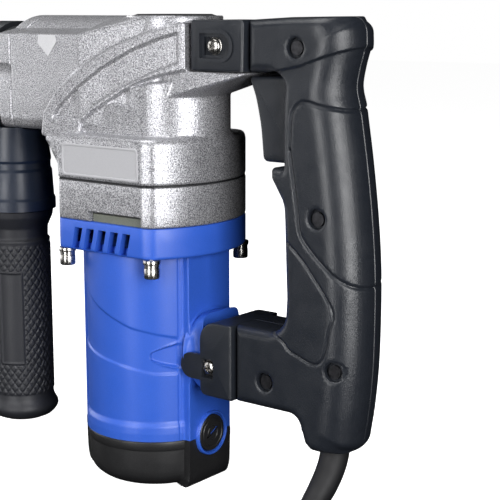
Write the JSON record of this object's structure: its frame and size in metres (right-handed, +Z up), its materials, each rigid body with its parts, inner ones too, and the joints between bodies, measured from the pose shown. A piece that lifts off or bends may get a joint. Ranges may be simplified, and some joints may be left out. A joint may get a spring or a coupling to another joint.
{
  "type": "demolition hammer",
  "caption": "Electric demolition hammer with an upright motor, cast gearbox, enclosed rear D-handle with trigger, clamped side handle and mains cord.",
  "frame": {"origin": "centre of the motor end cap's bottom face, on the motor axis, where the tool stands", "axes": "+Z up the motor axis, +X to the rear D-handle, chisel axis along -X, pictured side is -Y"},
  "size_m": [0.5385, 0.141, 0.298],
  "materials": {
    "cast_silver": "hammertone paint, satin",
    "blue_plastic": "moulded, fine grain",
    "black_plastic": "moulded, fine grain",
    "handle_plastic": "moulded, soft sheen",
    "grip_rubber": "diamond texture",
    "black_rubber": "matt",
    "cord_rubber": "matt",
    "baffle_plastic": "moulded",
    "fan_plastic": "moulded",
    "screw_steel": "bright zinc",
    "steel": "ground",
    "dark_steel": "phosphated",
    "lamination": "laminated",
    "copper": "enamelled copper wire",
    "brass": "satin",
    "carbon": "pressed carbon",
    "clamp_metal": "dark powder coat",
    "base_plastic": "moulded"
  },
  "bodies": {
    "housing": {"end_cap": "black_plastic", "motor_housing": "blue_plastic", "brush_caps": "black_plastic", "brush_holders": "brass", "carbon_brushes": "carbon", "brush_springs": "steel", "stator_core": "lamination", "field_windings": "copper", "lower_bearing": "steel", "armature_bearing": "steel", "fan_baffle": "baffle_plastic", "gearbox_base": "cast_silver", "gearbox_gasket": "black_rubber", "gearbox_housing": "cast_silver", "collar_screws": "screw_steel", "screw_washers": "screw_steel", "grease_cap": "black_plastic", "grease_cap_seal": "black_rubber", "crank_bearing_lower": "steel", "crank_bearing_upper": "steel", "cylinder_tube": "steel", "front_housing": "cast_silver", "front_screws": "screw_steel", "rubber_ring": "black_rubber", "tool_holder": "dark_steel", "sleeve_spring": "steel", "dust_cap": "black_rubber", "upper_bracket": "handle_plastic", "lower_bracket": "handle_plastic", "bracket_screws": "screw_steel", "handle_left": "handle_plastic", "handle_right": "handle_plastic", "handle_screws": "screw_steel", "switch_body": "black_plastic", "trigger_pin": "steel", "strain_relief": "cord_rubber", "cord_tube": "cord_rubber", "cord_coil": "cord_rubber", "cord_tie": "black_rubber", "plug": "black_plastic"},
    "trigger": {"trigger": "black_plastic"},
    "armature": {"armature_shaft": "steel", "armature_core": "lamination", "armature_windings": "copper", "commutator": "copper", "cooling_fan": "fan_plastic"},
    "crank": {"crank_gear": "steel", "crankshaft": "steel"},
    "piston": {"piston": "cast_silver", "wrist_pin": "steel", "piston_ring": "black_rubber"},
    "rod": {"connecting_rod": "steel"},
    "striker": {"striker": "steel", "striker_ring": "black_rubber"},
    "impact_bolt": {"impact_bolt": "steel"},
    "sleeve": {"locking_sleeve": "dark_steel"},
    "side_clamp": {"clamp_band": "clamp_metal", "handle_base": "base_plastic", "handle_stud": "steel"},
    "side_grip": {"side_grip": "grip_rubber"}
  },
  "joints": [
    {"name": "trigger_pull", "type": "hinge", "parent": "housing", "child": "trigger", "pos_m": [0.119, 0, 0.258], "axis": [0, -1, 0], "range_deg": [0, 6], "stiffness_Nm_per_rad": 0.6, "springref_deg": -20.05},
    {"name": "crank_spin", "type": "hinge", "parent": "housing", "child": "crank", "pos_m": [0.019, 0, 0.19], "axis": [0, 0, 1], "continuous": true},
    {"name": "rotor_spin", "type": "hinge", "parent": "housing", "child": "armature", "pos_m": [0, 0, 0.1], "axis": [0, 0, 1], "continuous": true},
    {"name": "piston_slide", "type": "slide", "parent": "housing", "child": "piston", "axis": [1, 0, 0], "range_m": [0, 0.022]},
    {"name": "rod_swing", "type": "hinge", "parent": "piston", "child": "rod", "pos_m": [-0.044, 0, 0.256], "axis": [0, 0, 1], "range_deg": [-12.2, 12.2]},
    {"name": "striker_slide", "type": "slide", "parent": "housing", "child": "striker", "axis": [1, 0, 0], "range_m": [-0.012, 0]},
    {"name": "impact_bolt_slide", "type": "slide", "parent": "housing", "child": "impact_bolt", "axis": [1, 0, 0], "range_m": [-0.0035, 0.0035]},
    {"name": "sleeve_pull", "type": "slide", "parent": "housing", "child": "sleeve", "axis": [1, 0, 0], "range_m": [0, 0.005], "stiffness_N_per_m": 1500, "springref_m": -0.005, "deforming": ["sleeve_spring"]},
    {"name": "side_handle_swing", "type": "hinge", "parent": "housing", "child": "side_clamp", "pos_m": [-0.131, 0, 0.256], "axis": [1, 0, 0], "continuous": true},
    {"name": "side_grip_twist", "type": "hinge", "parent": "side_clamp", "child": "side_grip", "pos_m": [-0.131, 0, 0.1], "axis": [0, 0, 1], "continuous": true}
  ],
  "couplings": [
    {"joint": "rotor_spin", "follows": "crank_spin", "ratio": -4.5556}
  ]
}
